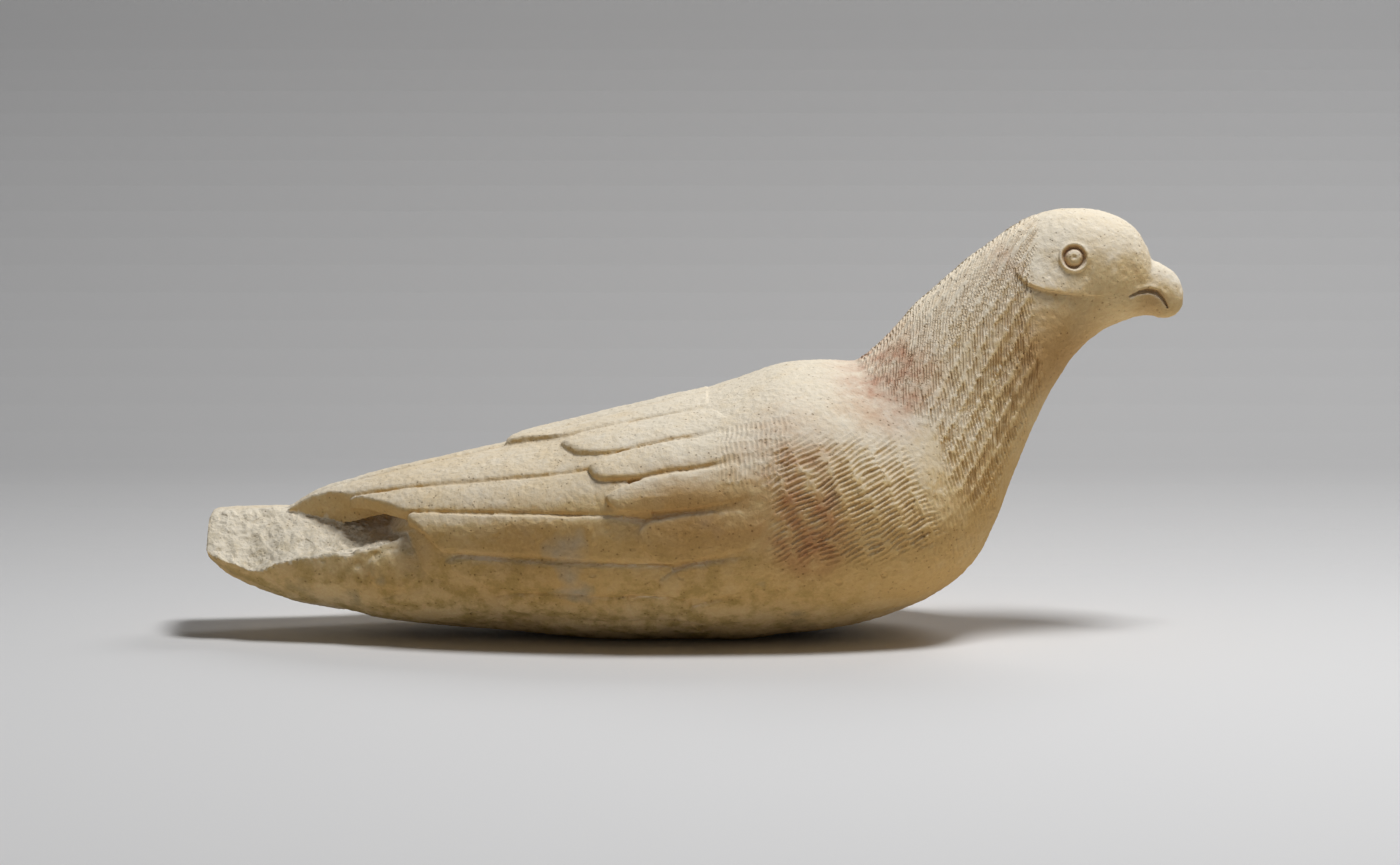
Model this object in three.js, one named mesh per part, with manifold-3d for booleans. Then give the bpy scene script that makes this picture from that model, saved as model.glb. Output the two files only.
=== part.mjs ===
// A limestone statuette of a resting dove, carved from one block.
// Millimetres, +Z up. The beak points along +X and the bird's left side along +Y.
// The origin is under the middle of the bird, on the surface that it rests on.

import * as THREE from 'three';
import { mergeVertices } from 'three/addons/utils/BufferGeometryUtils.js';
import Module from 'manifold-3d';

// Driving dimensions

const TAIL_END_X = -170;        // the blunt end of the tail
const KEEL_WORN = 1;            // stone worn off the keel, which leaves the flat the bird rests on
const WING_THICKNESS = 1.6;     // how far the body lies under the long wing feathers
const WING_FADE = [-22, 34];    // the stretch along X where that thickness runs out into the shoulder
const WING_HEM = [148, 166];    // the angles between which it runs out below the wing, in degrees
const REAR = [-112, -92];       // the stretch where the body draws in to a point between the wing tips
const REAR_DRAWN = 18;          // how far its sides are drawn in there
const RINGS = { body: 28, tail: 24 };   // points round a section
const CLOSE_RINGS = [12, 27];   // the sections between which the body has an extra ring each
const GROUND = [400, 200, 20];  // the block below the ground that cuts the keel flat
const STONE = { color: 0xd9c7a0, roughness: 0.9, metalness: 0 };

// The body is a row of sections from the wing tips to the beak. Each one runs from a point on the
// back to a point on the keel. half is its half width, and waist is the height of its widest place
// as a share of the way up from the keel. Behind the nape the sections stand upright, and in front
// of it they fan out round the nape and then follow the neck and the head.

const BODY = [
  { top: [-143, 44.6], keel: [-143, 12.5], half: 14, waist: 0.67 },
  { top: [-130, 51], keel: [-130, 9.5], half: 22, waist: 0.57 },
  { top: [-120, 54], keel: [-120, 7.5], half: 28, waist: 0.54 },
  { top: [-105, 58], keel: [-105, 5.2], half: 36, waist: 0.51 },
  { top: [-90, 61.4], keel: [-90, 3.6], half: 42, waist: 0.5 },
  { top: [-70, 65.8], keel: [-70, 2.2], half: 48.5, waist: 0.5 },
  { top: [-47, 71.5], keel: [-47, 0.4], half: 53.5, waist: 0.5 },
  { top: [-29, 77], keel: [-29, -KEEL_WORN], half: 56, waist: 0.5 },
  { top: [-10, 82.8], keel: [-10, -KEEL_WORN], half: 57.5, waist: 0.49 },
  { top: [2, 85.8], keel: [2, -KEEL_WORN], half: 58, waist: 0.485 },
  { top: [15, 89.6], keel: [15, -KEEL_WORN], half: 58.4, waist: 0.48 },
  { top: [30, 94.3], keel: [30, 0.6], half: 57.8, waist: 0.47 },
  { top: [44, 95.9], keel: [46, 2.4], half: 56, waist: 0.47 },
  { top: [54.5, 95.5], keel: [66, 7.2], half: 52, waist: 0.475 },
  { top: [57.2, 96.2], keel: [84, 15.2], half: 48, waist: 0.47 },
  { top: [60.5, 98.3], keel: [97, 26], half: 43.2, waist: 0.47 },
  { top: [65, 102.4], keel: [104.6, 40], half: 37.8, waist: 0.47 },
  { top: [71, 108.8], keel: [110, 54.5], half: 33, waist: 0.48 },
  { top: [78, 116.4], keel: [115.2, 67], half: 29.4, waist: 0.49 },
  { top: [86.2, 123.6], keel: [120, 78.3], half: 26.8, waist: 0.5 },
  { top: [95.2, 131.2], keel: [125.6, 88.8], half: 24.6, waist: 0.5 },
  { top: [104.6, 138.2], keel: [131.8, 98], half: 22.8, waist: 0.52 },
  { top: [113.2, 143.9], keel: [138.6, 104.3], half: 21.2, waist: 0.56 },
  { top: [121.6, 147.5], keel: [144, 107.7], half: 20.5, waist: 0.58 },
  { top: [130.6, 148.9], keel: [147.6, 109.3], half: 20, waist: 0.58 },
  { top: [139.6, 148.3], keel: [150, 110.2], half: 18.6, waist: 0.58 },
  { top: [147.6, 145.8], keel: [152, 110.9], half: 16, waist: 0.57 },
  { top: [153.4, 141.4], keel: [154, 111.3], half: 12.8, waist: 0.55 },
  { top: [157, 136], keel: [155.8, 111.6], half: 9.8, waist: 0.52 },
  { top: [158.9, 131.6], keel: [157.6, 111.7], half: 7.9, waist: 0.52 },
  { top: [162.3, 129.8], keel: [159.4, 111.5], half: 7.3, waist: 0.55 },
  { top: [165.9, 127.6], keel: [161, 111.1], half: 6.9, waist: 0.56 },
  { top: [168.7, 124.4], keel: [162.4, 110.8], half: 6.4, waist: 0.56 },
  { top: [170, 120.2], keel: [163.7, 110.7], half: 5.6, waist: 0.55 },
  { top: [169.9, 115.8], keel: [165, 110.8], half: 4.2, waist: 0.5 },
  { top: [168.8, 113.2], keel: [166.2, 111.3], half: 2, waist: 0.5 },
];

// The tail is a thick blade of its own, whose front end is buried in the body.

const TAIL = [
  { top: [TAIL_END_X, 40.5], keel: [TAIL_END_X, 29.5], half: 19, waist: 0.55 },
  { top: [-168.6, 42.6], keel: [-168.6, 26.2], half: 20.5, waist: 0.62 },
  { top: [-163, 43.2], keel: [-163, 21.2], half: 21.8, waist: 0.66 },
  { top: [-156, 43.4], keel: [-156, 17.4], half: 23, waist: 0.66 },
  { top: [-147, 43.5], keel: [-147, 13.8], half: 24.6, waist: 0.64 },
  { top: [-136, 43.5], keel: [-136, 10.8], half: 26.8, waist: 0.6 },
  { top: [-122, 43.6], keel: [-122, 8.3], half: 29.8, waist: 0.56 },
  { top: [-108, 44], keel: [-108, 5.6], half: 33.4, waist: 0.54 },
  { top: [-92, 47], keel: [-92, 3.8], half: 37.4, waist: 0.52 },
  { top: [-72, 52], keel: [-72, 3.2], half: 41, waist: 0.5 },
  { top: [-50, 52], keel: [-50, 3.2], half: 38, waist: 0.5 },
];

// The upper right side of the tail is broken off, from just past its midline down to a ragged border,
// given as [x, height]. The broken face climbs from foot, its outer edge, to the tail's top, steeply
// at first. Its waves make it uneven, and what lies between it and cover is gone.
const BREAK = {
  x: [-175, -96],
  y: [-46, 3.5],
  foot: -24,
  top: 44,
  steep: 0.8,
  cover: 70,
  cells: [16, 5],
  border: [
    [-175, 25], [-160, 25.5], [-155, 22.5], [-150, 24.5], [-144, 28.5], [-132, 31], [-118, 33], [-96, 40],
  ],
  waves: [
    { height: 0.5, along: 0.71, across: 0.33, start: 0.4 },
    { height: 0.35, along: -0.41, across: 0.93, start: 2 },
    { height: 0.25, along: 1.7, across: 1.1, start: 0 },
  ],
};

// Fullness of the sections: 2 is an ellipse, and more is squarer.
const BODY_ROUND = { back: 2.1, belly: 2.3 };
const TAIL_ROUND = { back: 3.2, belly: 2.2 };

// Feathers, in rows from the midline down. An edge is [x at the root, angle at the root, x at the tip,
// angle at the tip], where the angle in degrees runs from 0 on the back's midline to 90 at the widest
// place and 180 on the keel. Feather number n lies between edge n and edge n + 1 of its row. nose is how
// far the tip is rounded out past its corners, round is the share of its length that this takes, and
// lift is how far it stands over the wing's surface at its tip. depth is how thick its tip is, and root
// is how far over or under that surface it starts.

const COVERTS = {
  root: -0.6,
  edges: [
    [4, 0, -71, 0], [4, 22, -48, 17], [14, 41, -36, 42], [21, 59, -29, 60],
    [27, 79, -21, 80], [33, 96, -12, 101], [38, 113, -5, 122], [33, 136, 0, 142],
  ],
  feathers: [
    { lift: 2.4, nose: 0, round: 0.1, depth: 3 },
    { lift: 2.4, nose: 2, round: 0.25, depth: 3 },
    { lift: 2.6, nose: 2.5, round: 0.28, depth: 3 },
    { lift: 2.6, nose: 4, round: 0.28, depth: 3 },
    { lift: 1.6, nose: 1, round: 0.12, depth: 3 },
    { lift: 1.5, nose: 3, round: 0.3, depth: 3 },
    { lift: 1, nose: 4, round: 0.4, depth: 3 },
  ],
};

const QUILLS = {
  root: 0,
  edges: [
    [-20, 1, -145, 3], [-28, 48, -120, 30], [-14, 81, -100.5, 56],
    [-8, 100, -88.5, 87], [-2, 118, -71, 111], [-2, 136, -55, 137], [4, 152, -44, 158],
  ],
  feathers: [
    { lift: 0, nose: 0, round: 0, depth: 12 },
    { lift: -0.5, nose: 0, round: 0, depth: 6 },
    { lift: 0.5, nose: 1, round: 0.04, depth: 5 },
    { lift: 0, nose: 2, round: 0.14, depth: 4 },
    { lift: -0.5, nose: 3, round: 0.3, depth: 4 },
    { lift: -0.9, nose: 3, round: 0.3, depth: 4 },
  ],
};

const TAIL_FEATHERS = {
  root: -0.5,
  edges: [[-86, 62, -113, 79], [-82, 92, -109, 111], [-80, 114, -101, 129]],
  feathers: [
    { lift: 1.3, nose: 1, round: 0.3, depth: 3 },
    { lift: 0.7, nose: 3, round: 0.6, depth: 3 },
  ],
};

// What all feathers share. along and across are where a feather's grid has its lines, as shares of its
// length and width. gap is half the width of the cut beside it. bevel is how far its edges are rounded
// down at the tip, of which rootBevel is left at its root and insideBevel next to the edge. tipBevel
// comes on top of that at the tip's end. narrow is how much the rounding narrows the tip, and bed is how
// deep its root reaches into the stone.
const FEATHER = {
  along: [0, 0.25, 0.5, 0.75, 0.9, 0.97, 1],
  across: [0, 0.13, 0.5, 0.87, 1],
  gap: 0.35,
  bevel: 1.1,
  rootBevel: 0.6,
  insideBevel: 0.15,
  tipBevel: 0.5,
  narrow: 0.75,
  bed: 3,
};

// The eye: a low dome in a ring-shaped groove with a raised rim, as [radius, height] from its middle.
// Both are turned with the same number of sides, and the socket is cut from clear over the skin.
const EYE = { x: 130.4, z: 133.6, socket: 4.8, floor: -1.8, clear: 3, sides: 14 };
const EYE_PROFILE = [
  [0, EYE.floor - 0.3], [EYE.socket + 0.15, EYE.floor - 0.3], [EYE.socket + 0.15, 0], [4.4, 0.55], [4, 0.5],
  [3.6, -0.8], [3.1, -0.3], [2, 0.7], [0, 1.1],
];

// The mouth: a groove from its corner, up over an arch and down behind the hooked tip of the beak.
// It is widest at its arch and tapers to ends, a share of its width. It opens from its floor to a place
// that lies clear over the skin, whose shares of the width are floorWidth and openWidth.
const MOUTH = {
  line: [[150.2, 119.5], [153.6, 120.7], [157.2, 121.1], [160.4, 120.2], [162.6, 117.8], [164.2, 114.9]],
  width: 1.7,
  depth: 1.7,
  clear: 1.5,
  ends: 0.35,
  floorWidth: 0.45,
  openWidth: 1.5,
};

// The feathered cheek stands over the smooth throat along the jaw. Each entry is a point on the jaw
// line, the point above it where the step has run out, and the height of the step there.
const CHEEK = [
  { jaw: [109.6, 130.2], crown: [119, 139], step: 0 },
  { jaw: [111.6, 126.8], crown: [121, 137], step: 0.6 },
  { jaw: [114.6, 124.2], crown: [123, 135], step: 1.2 },
  { jaw: [119.8, 122.4], crown: [125.5, 133], step: 1.4 },
  { jaw: [126, 121.5], crown: [129, 131], step: 1.2 },
  { jaw: [133, 120.6], crown: [135, 129], step: 0.8 },
  { jaw: [141, 120.2], crown: [142, 127], step: 0.2 },
];

// The cheek's cross-section: where its grid has its lines, how far its upper side sinks under the skin,
// how its height runs out, how much of the step is rounded off at the jaw, and how deep it is bedded.
const CHEEK_SHAPE = { across: [0, 0.12, 0.5, 1], sunk: -0.5, fall: 1.5, rounded: 0.3, bed: -2.5 };

const wasm = await Module();
wasm.setup();

const rad = THREE.MathUtils.degToRad;
const mix = THREE.MathUtils.lerp;
const ramp = THREE.MathUtils.smoothstep;

// A smooth curve through a list of numbers, with t counting from one entry to the next.
function spline(list, t) {
  const last = list.length - 1;
  const i = Math.min(Math.floor(t), last - 1);
  const f = t - i;
  const [p1, p2] = [list[i], list[i + 1]];
  const p0 = i > 0 ? list[i - 1] : 2 * p1 - p2;
  const p3 = i < last - 1 ? list[i + 2] : 2 * p2 - p1;
  const m1 = (p2 - p0) / 2;
  const m2 = (p3 - p1) / 2;
  return (2 * f ** 3 - 3 * f ** 2 + 1) * p1 + (f ** 3 - 2 * f ** 2 + f) * m1
    + (3 * f ** 2 - 2 * f ** 3) * p2 + (f ** 3 - f ** 2) * m2;
}

// A skin is the smooth surface that a row of sections spans.
class Skin {
  constructor(sections, round) {
    this.count = sections.length;
    this.round = round;
    this.columns = sections[0].top.map((_, k) => sections.map((s) => s.top[k]))
      .concat(sections[0].keel.map((_, k) => sections.map((s) => s.keel[k])))
      .concat([sections.map((s) => s.half), sections.map((s) => s.waist)]);
  }

  section(t) {
    const [tx, tz, kx, kz, half, waist] = this.columns.map((column) => spline(column, t));
    return { tx, tz, kx, kz, half, waist };
  }

  // The place in the row, counted in sections, where the back's midline is at x.
  placeAt(x) {
    let low = 0;
    let high = this.count - 1;
    for (let k = 0; k < 40; k += 1) {
      const middle = (low + high) / 2;
      if (spline(this.columns[0], middle) < x) low = middle;
      else high = middle;
    }
    return (low + high) / 2;
  }

  // The place and the angle of the surface point that stands over (x, z) in a side view.
  locate(x, z, from, to) {
    let [low, high] = [from, to];
    for (let k = 0; k < 40; k += 1) {
      const middle = (low + high) / 2;
      const { tx, tz, kx, kz } = this.section(middle);
      if ((tz - kz) * (x - kx) > (tx - kx) * (z - kz)) low = middle;
      else high = middle;
    }
    const t = (low + high) / 2;
    const { tx, tz, kx, kz, waist } = this.section(t);
    const share = Math.hypot(x - kx, z - kz) / Math.hypot(tx - kx, tz - kz);
    const above = share > waist;
    const c = above ? (share - waist) / (1 - waist) : (waist - share) / waist;
    const power = 2 / (above ? this.round.back : this.round.belly);
    const angle = Math.acos(Math.min(1, c ** (1 / power)));
    return { t, angle: above ? angle : Math.PI - angle };
  }

  // How far the section reaches to the side and up from its waist at an angle round it.
  reach(section, angle) {
    const { tx, tz, kx, kz, half, waist } = section;
    const tall = Math.hypot(tx - kx, tz - kz);
    const power = 2 / (Math.abs(angle) < Math.PI / 2 ? this.round.back : this.round.belly);
    const c = Math.sign(Math.cos(angle)) * Math.abs(Math.cos(angle)) ** power;
    const s = Math.sign(Math.sin(angle)) * Math.abs(Math.sin(angle)) ** power;
    return [half * s, tall * (c > 0 ? (1 - waist) * c : waist * c)];
  }

  // The point at an angle round the section, moved out by lift along the section's own normal.
  point(t, angle, lift = 0) {
    const section = this.section(t);
    const { tx, tz, kx, kz, waist } = section;
    const up = new THREE.Vector3(tx - kx, 0, tz - kz).normalize();
    const step = 0.02;
    let [side, rise] = this.reach(section, angle);
    const [s0, r0] = this.reach(section, angle - step);
    const [s1, r1] = this.reach(section, angle + step);
    const along = Math.hypot(s1 - s0, r1 - r0);
    side += (lift * (r0 - r1)) / along;
    rise += (lift * (s1 - s0)) / along;
    const middle = new THREE.Vector3(mix(kx, tx, waist), 0, mix(kz, tz, waist));
    return middle.addScaledVector(up, rise).add(new THREE.Vector3(0, -side, 0));
  }
}

// A closed solid from its points and triangles, turned so that its faces point out.
function solid(points, faces) {
  let volume = 0;
  const cross = new THREE.Vector3();
  for (const [a, b, c] of faces) volume += cross.crossVectors(points[a], points[b]).dot(points[c]);
  const geometry = new THREE.BufferGeometry().setFromPoints(points);
  geometry.setIndex(faces.map(([a, b, c]) => (volume < 0 ? [a, c, b] : [a, b, c])).flat());
  return toManifold(geometry);
}

function toManifold(source) {
  let geometry = source.clone();
  geometry.deleteAttribute('normal');
  geometry.deleteAttribute('uv');
  geometry = mergeVertices(geometry, 1e-4);
  return new wasm.Manifold(new wasm.Mesh({
    numProp: 3,
    vertProperties: Float32Array.from(geometry.attributes.position.array),
    triVerts: Uint32Array.from(geometry.index.array),
  }));
}

// A solid from closed rings of points, with its two ends closed by fans.
function ringSolid(rings) {
  const n = rings[0].length;
  const points = rings.flat();
  const faces = [];
  for (let r = 0; r + 1 < rings.length; r += 1) {
    for (let k = 0; k < n; k += 1) {
      const [a, b] = [r * n + k, r * n + ((k + 1) % n)];
      faces.push([a, b, b + n], [a, b + n, a + n]);
    }
  }
  for (const [r, turn] of [[0, true], [rings.length - 1, false]]) {
    const centre = rings[r].reduce((sum, p) => sum.add(p), new THREE.Vector3()).divideScalar(n);
    points.push(centre);
    for (let k = 0; k < n; k += 1) {
      const [a, b] = [r * n + k, r * n + ((k + 1) % n)];
      faces.push(turn ? [b, a, points.length - 1] : [a, b, points.length - 1]);
    }
  }
  return solid(points, faces);
}

// A solid between two grids of points with the same rows, an outer face and an inner one.
function slabSolid(outer, inner) {
  const rows = outer.length;
  const n = outer[0].length;
  const points = [...outer.flat(), ...inner.flat()];
  const half = rows * n;
  const faces = [];
  const wall = (a, b) => faces.push([a, b, b + half], [a, b + half, a + half]);
  for (let r = 0; r + 1 < rows; r += 1) {
    for (let k = 0; k + 1 < n; k += 1) {
      const a = r * n + k;
      faces.push([a, a + n, a + n + 1], [a, a + n + 1, a + 1]);
      faces.push([a + half, a + half + n + 1, a + half + n], [a + half, a + half + 1, a + half + n + 1]);
    }
    wall(r * n + n, r * n);
    wall(r * n + n - 1, r * n + 2 * n - 1);
  }
  for (let k = 0; k + 1 < n; k += 1) {
    wall(k, k + 1);
    wall(half - n + k + 1, half - n + k);
  }
  return solid(points, faces);
}

const body = new Skin(BODY, BODY_ROUND);
const tail = new Skin(TAIL, TAIL_ROUND);

// The places along a row where rings stand: every section, with extra rings between some of them.
function places(first, last, between) {
  const list = [];
  for (let t = first; t < last; t += 1) {
    const steps = between(t);
    for (let k = 0; k < steps; k += 1) list.push(t + k / steps);
  }
  return [...list, last];
}

// A solid through a row of sections. inset says how far a point lies under the skin, from its place in
// the row and its angle.
function loft(skin, row, around, inset) {
  return ringSolid(row.map((t) => Array.from({ length: around }, (_, k) => {
    const angle = (2 * Math.PI * k) / around;
    return skin.point(t, angle, -inset(t, Math.min(angle, 2 * Math.PI - angle)));
  })));
}

// The body lies under the long feathers by their thickness, which runs out at the shoulder and below the
// wing. Its rear end, hidden between the wing tips, is drawn in to a blunt point.
function bodySolid() {
  const rear = body.placeAt(REAR[0]);
  const inset = (t, angle) => {
    const x = body.section(t).tx;
    const covered = (1 - ramp(x, ...WING_FADE)) * (1 - ramp(angle, ...WING_HEM.map(rad)));
    return WING_THICKNESS * covered + REAR_DRAWN * (1 - ramp(x, ...REAR));
  };
  const steps = (t) => (t > CLOSE_RINGS[0] && t < CLOSE_RINGS[1] ? 2 : 1);
  return loft(body, [rear, ...places(Math.ceil(rear), BODY.length - 1, steps)], RINGS.body, inset);
}

// The height of the broken face's ragged lower border at x.
function borderHeight(x) {
  const list = BREAK.border;
  const i = Math.max(0, list.findIndex((p) => p[0] >= x) - 1);
  const [a, b] = [list[i], list[i + 1]];
  return mix(a[1], b[1], THREE.MathUtils.clamp((x - a[0]) / (b[0] - a[0]), 0, 1));
}

// The height of the broken face at x and y.
function breakHeight(x, y) {
  const slope = ramp(y, BREAK.foot, BREAK.y[1]) ** BREAK.steep;
  const uneven = BREAK.waves.map((w) => w.height * Math.sin(w.along * x + w.across * y + w.start));
  return mix(borderHeight(x), BREAK.top, slope) + uneven.reduce((sum, height) => sum + height);
}

// The tail, with its upper right side broken off down to the ragged border.
function tailSolid() {
  const whole = loft(tail, places(0, TAIL.length - 1, () => 2), RINGS.tail, () => 0);
  const [columns, rows] = BREAK.cells;
  const face = [];
  const cover = [];
  for (let i = 0; i <= columns; i += 1) {
    const x = mix(...BREAK.x, i / columns);
    const [lower, upper] = [[], []];
    for (let j = 0; j <= rows; j += 1) {
      const y = mix(...BREAK.y, j / rows);
      lower.push(new THREE.Vector3(x, y, breakHeight(x, y)));
      upper.push(new THREE.Vector3(x, y, BREAK.cover));
    }
    face.push(lower);
    cover.push(upper);
  }
  return whole.subtract(slabSolid(cover, face));
}

// One feather: a long slab with rounded edges that follows a skin, between edges n and n + 1.
function featherSolid(skin, side, row, n) {
  const [upper, lower] = [row.edges[n], row.edges[n + 1]];
  const { lift, nose, round, depth } = row.feathers[n];
  const outer = [];
  const inner = [];
  for (const u of FEATHER.along) {
    const shrink = u > 1 - round ? Math.sqrt(1 - FEATHER.narrow * ((u - 1 + round) / round) ** 2) : 1;
    const [outerRow, innerRow] = [[], []];
    for (const v of FEATHER.across) {
      const w = 0.5 + (v - 0.5) * shrink;
      const bulge = nose * u ** 4 * 4 * w * (1 - w);
      const x = mix(mix(upper[0], upper[2], u), mix(lower[0], lower[2], u), w) - bulge;
      const t = skin.placeAt(x);
      const degree = rad(skin.section(t).half);
      const trim = (FEATHER.gap / degree) * (1 - 2 * v);
      const around = mix(mix(upper[1], upper[3], u), mix(lower[1], lower[3], u), w) + trim;
      const share = v === 0.5 ? 0 : (v === 0 || v === 1 ? 1 : FEATHER.insideBevel);
      const edge = FEATHER.bevel * share * mix(FEATHER.rootBevel, 1, u) + (u === 1 ? FEATHER.tipBevel : 0);
      outerRow.push(skin.point(t, side * rad(around), mix(row.root, lift, u) - edge));
      innerRow.push(skin.point(t, side * rad(around), -mix(FEATHER.bed, depth, u)));
    }
    outer.push(outerRow);
    inner.push(innerRow);
  }
  return slabSolid(outer, inner);
}

// The feathers of one row.
const rowSolids = (skin, side, row) => row.feathers.map((_, n) => featherSolid(skin, side, row, n));

// All feathers on one side: the long ones, whose tips stand free over the tail, the short ones over
// their roots, which sink into the shoulder, and those on the side of the tail.
const plumage = (side) => [
  ...rowSolids(body, side, QUILLS),
  ...rowSolids(body, side, COVERTS),
  ...rowSolids(tail, side, TAIL_FEATHERS),
];

// The places in the body's row between which the head lies.
const HEAD = [18, BODY.length - 1];

// The surface of the head over (x, z) in a side view, moved out by lift.
function onHead(side, [x, z], lift) {
  const { t, angle } = body.locate(x, z, ...HEAD);
  return body.point(t, side * angle, lift);
}

// The eye's socket, which is cut out, and the eye, which is put into it.
function eyeSolids(side) {
  const middle = onHead(side, [EYE.x, EYE.z], 0);
  const axis = onHead(side, [EYE.x, EYE.z], 1).sub(middle).normalize();
  const turn = new THREE.Quaternion().setFromUnitVectors(new THREE.Vector3(0, 1, 0), axis);
  const place = (geometry) => toManifold(geometry.applyQuaternion(turn).translate(...middle));
  const socket = new THREE.CylinderGeometry(EYE.socket, EYE.socket, EYE.clear - EYE.floor, EYE.sides);
  socket.translate(0, (EYE.clear + EYE.floor) / 2, 0);
  const eye = new THREE.LatheGeometry(EYE_PROFILE.map((p) => new THREE.Vector2(...p)), EYE.sides);
  return { socket: place(socket), eye: place(eye) };
}

// The groove of the mouth on one side.
function mouthSolid(side) {
  const last = MOUTH.line.length - 1;
  const strip = (share, lift) => MOUTH.line.map(([x, z], k) => {
    const [before, after] = [MOUTH.line[Math.max(0, k - 1)], MOUTH.line[Math.min(last, k + 1)]];
    const across = new THREE.Vector2(before[1] - after[1], after[0] - before[0]).normalize();
    const half = (MOUTH.width / 2) * mix(MOUTH.ends, 1, Math.sin((Math.PI * k) / last)) * share;
    return [half, -half].map((s) => onHead(side, [x + s * across.x, z + s * across.y], lift));
  });
  return slabSolid(strip(MOUTH.openWidth, MOUTH.clear), strip(MOUTH.floorWidth, -MOUTH.depth));
}

// The cheek's low slab on one side, with its step along the jaw.
function cheekSolid(side) {
  const { across, sunk, fall, rounded, bed } = CHEEK_SHAPE;
  const at = (lift) => CHEEK.map(({ jaw, crown, step }) => across.map((v) => (
    onHead(side, [mix(jaw[0], crown[0], v), mix(jaw[1], crown[1], v)], lift(v, step))
  )));
  const top = (v, step) => mix(step, sunk, v ** fall) - (v === 0 ? rounded * step : 0);
  return slabSolid(at(top), at(() => bed));
}

// Joins the solids one after another.
const join = (solids) => solids.reduce((sum, next) => sum.add(next));

// The whole bird, carved on both sides and cut flat on the ground.
function birdSolid() {
  const sides = [1, -1];
  let stone = join([bodySolid(), tailSolid(), ...sides.flatMap(plumage)]);
  for (const side of sides) {
    const { socket, eye } = eyeSolids(side);
    stone = stone.add(cheekSolid(side)).subtract(socket).add(eye).subtract(mouthSolid(side));
  }
  const ground = new THREE.BoxGeometry(...GROUND).translate(0, 0, -GROUND[2] / 2);
  return stone.subtract(toManifold(ground));
}

// Back from a solid to a mesh.
function toGeometry(manifold) {
  const mesh = manifold.getMesh();
  const geometry = new THREE.BufferGeometry();
  geometry.setAttribute('position', new THREE.Float32BufferAttribute(mesh.vertProperties, 3));
  geometry.setIndex(Array.from(mesh.triVerts));
  geometry.computeVertexNormals();
  return geometry;
}

const statuette = new THREE.Group();
const bird = new THREE.Mesh(toGeometry(birdSolid()), new THREE.MeshStandardMaterial(STONE));
bird.name = 'bird';
statuette.add(bird);

export default statuette;
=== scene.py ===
"""The looks of a dove carved from one block of limestone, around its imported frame.

The frame is the plain solid. This script carves the same forms again, dense enough for every chisel
cut, peck and chip, and gives the stone its finish. Sizes are millimetres until the finished stone is
scaled to Blender's metres. +Z is up, the beak points along +X, and the bird's right side, which the
camera sees, lies towards -Y.
"""

import logging
import math
from collections.abc import Callable
from dataclasses import dataclass, field
from enum import Enum

import bmesh
import bpy
import numpy as np
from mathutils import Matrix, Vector


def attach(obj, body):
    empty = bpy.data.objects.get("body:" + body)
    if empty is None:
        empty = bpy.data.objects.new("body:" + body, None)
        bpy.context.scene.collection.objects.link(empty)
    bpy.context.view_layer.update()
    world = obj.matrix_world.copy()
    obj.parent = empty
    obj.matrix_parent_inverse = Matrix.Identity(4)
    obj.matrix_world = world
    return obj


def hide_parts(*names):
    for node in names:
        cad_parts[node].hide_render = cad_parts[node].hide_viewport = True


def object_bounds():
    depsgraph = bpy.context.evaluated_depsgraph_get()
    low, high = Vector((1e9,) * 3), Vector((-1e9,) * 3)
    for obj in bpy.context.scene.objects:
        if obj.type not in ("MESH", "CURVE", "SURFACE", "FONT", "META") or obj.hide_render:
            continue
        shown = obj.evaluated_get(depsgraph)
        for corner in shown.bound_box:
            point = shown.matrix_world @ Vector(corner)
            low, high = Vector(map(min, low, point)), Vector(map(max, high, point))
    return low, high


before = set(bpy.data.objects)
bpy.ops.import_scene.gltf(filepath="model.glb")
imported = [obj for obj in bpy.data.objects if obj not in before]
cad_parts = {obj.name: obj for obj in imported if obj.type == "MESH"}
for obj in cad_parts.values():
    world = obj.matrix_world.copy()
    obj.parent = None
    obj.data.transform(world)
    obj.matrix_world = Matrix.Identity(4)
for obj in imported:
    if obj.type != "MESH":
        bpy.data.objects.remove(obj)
cad_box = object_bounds()

log = logging.getLogger("dove")

MM = 0.001                      # one millimetre in Blender's metres
NODE = "bird"                   # the solid that the carved stone stands for

Array = np.ndarray


def mix(a: Array | float, b: Array | float, share: Array | float) -> Array | float:
    """Goes from a to b by a share."""
    return a + (b - a) * share


def ramp(value: Array | float, low: float, high: float) -> Array:
    """Goes smoothly from 0 at low to 1 at high.

    Args:
        value: where to read it.
        low: the value that gives 0.
        high: the value that gives 1. It may lie below low.

    Returns:
        The smooth step at each value.
    """
    share = np.clip((value - low) / (high - low), 0, 1)
    return share * share * (3 - 2 * share)


def hump(value: Array, low: float, high: float, soft: float) -> Array:
    """Is 1 from low to high and fades to 0 over soft outside them."""
    return ramp(value, low - soft, low) * ramp(value, high + soft, high)


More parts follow.
